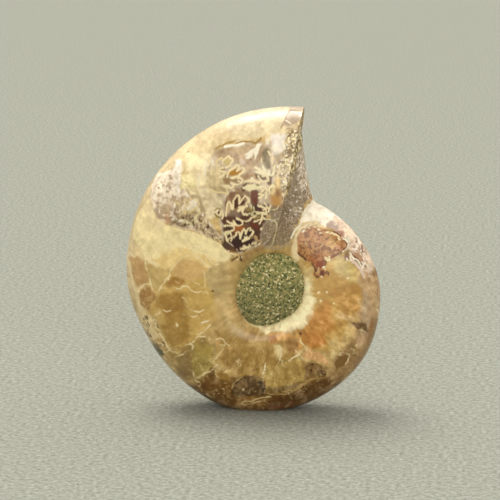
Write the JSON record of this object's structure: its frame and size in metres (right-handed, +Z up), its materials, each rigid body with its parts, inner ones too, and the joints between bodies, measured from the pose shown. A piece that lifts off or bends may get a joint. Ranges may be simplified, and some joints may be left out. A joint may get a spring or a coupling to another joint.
{
  "type": "fossil ammonite",
  "caption": "Polished fossil ammonite shell standing on a flat ground at its foot, with sandstone left in its umbilicus.",
  "frame": {"origin": "middle of the resting flat at the foot of the outer whorl, on the surface that the fossil stands on", "axes": "+Z up, +Y from the front side to the back side along the coil's axis, +X to the right seen from the front, towards the open side of the last whorl"},
  "size_m": [0.0511, 0.0204, 0.0613],
  "materials": {
    "polished_shell": "polished, mottled cream, gold and red-brown, with oak-leaf suture lines",
    "sandstone_matrix": "rough, speckled grey-green"
  },
  "bodies": {
    "root": {"ammonite_shell": "polished_shell", "umbilicus_matrix_front": "sandstone_matrix", "umbilicus_matrix_back": "sandstone_matrix"}
  },
  "joints": []
}
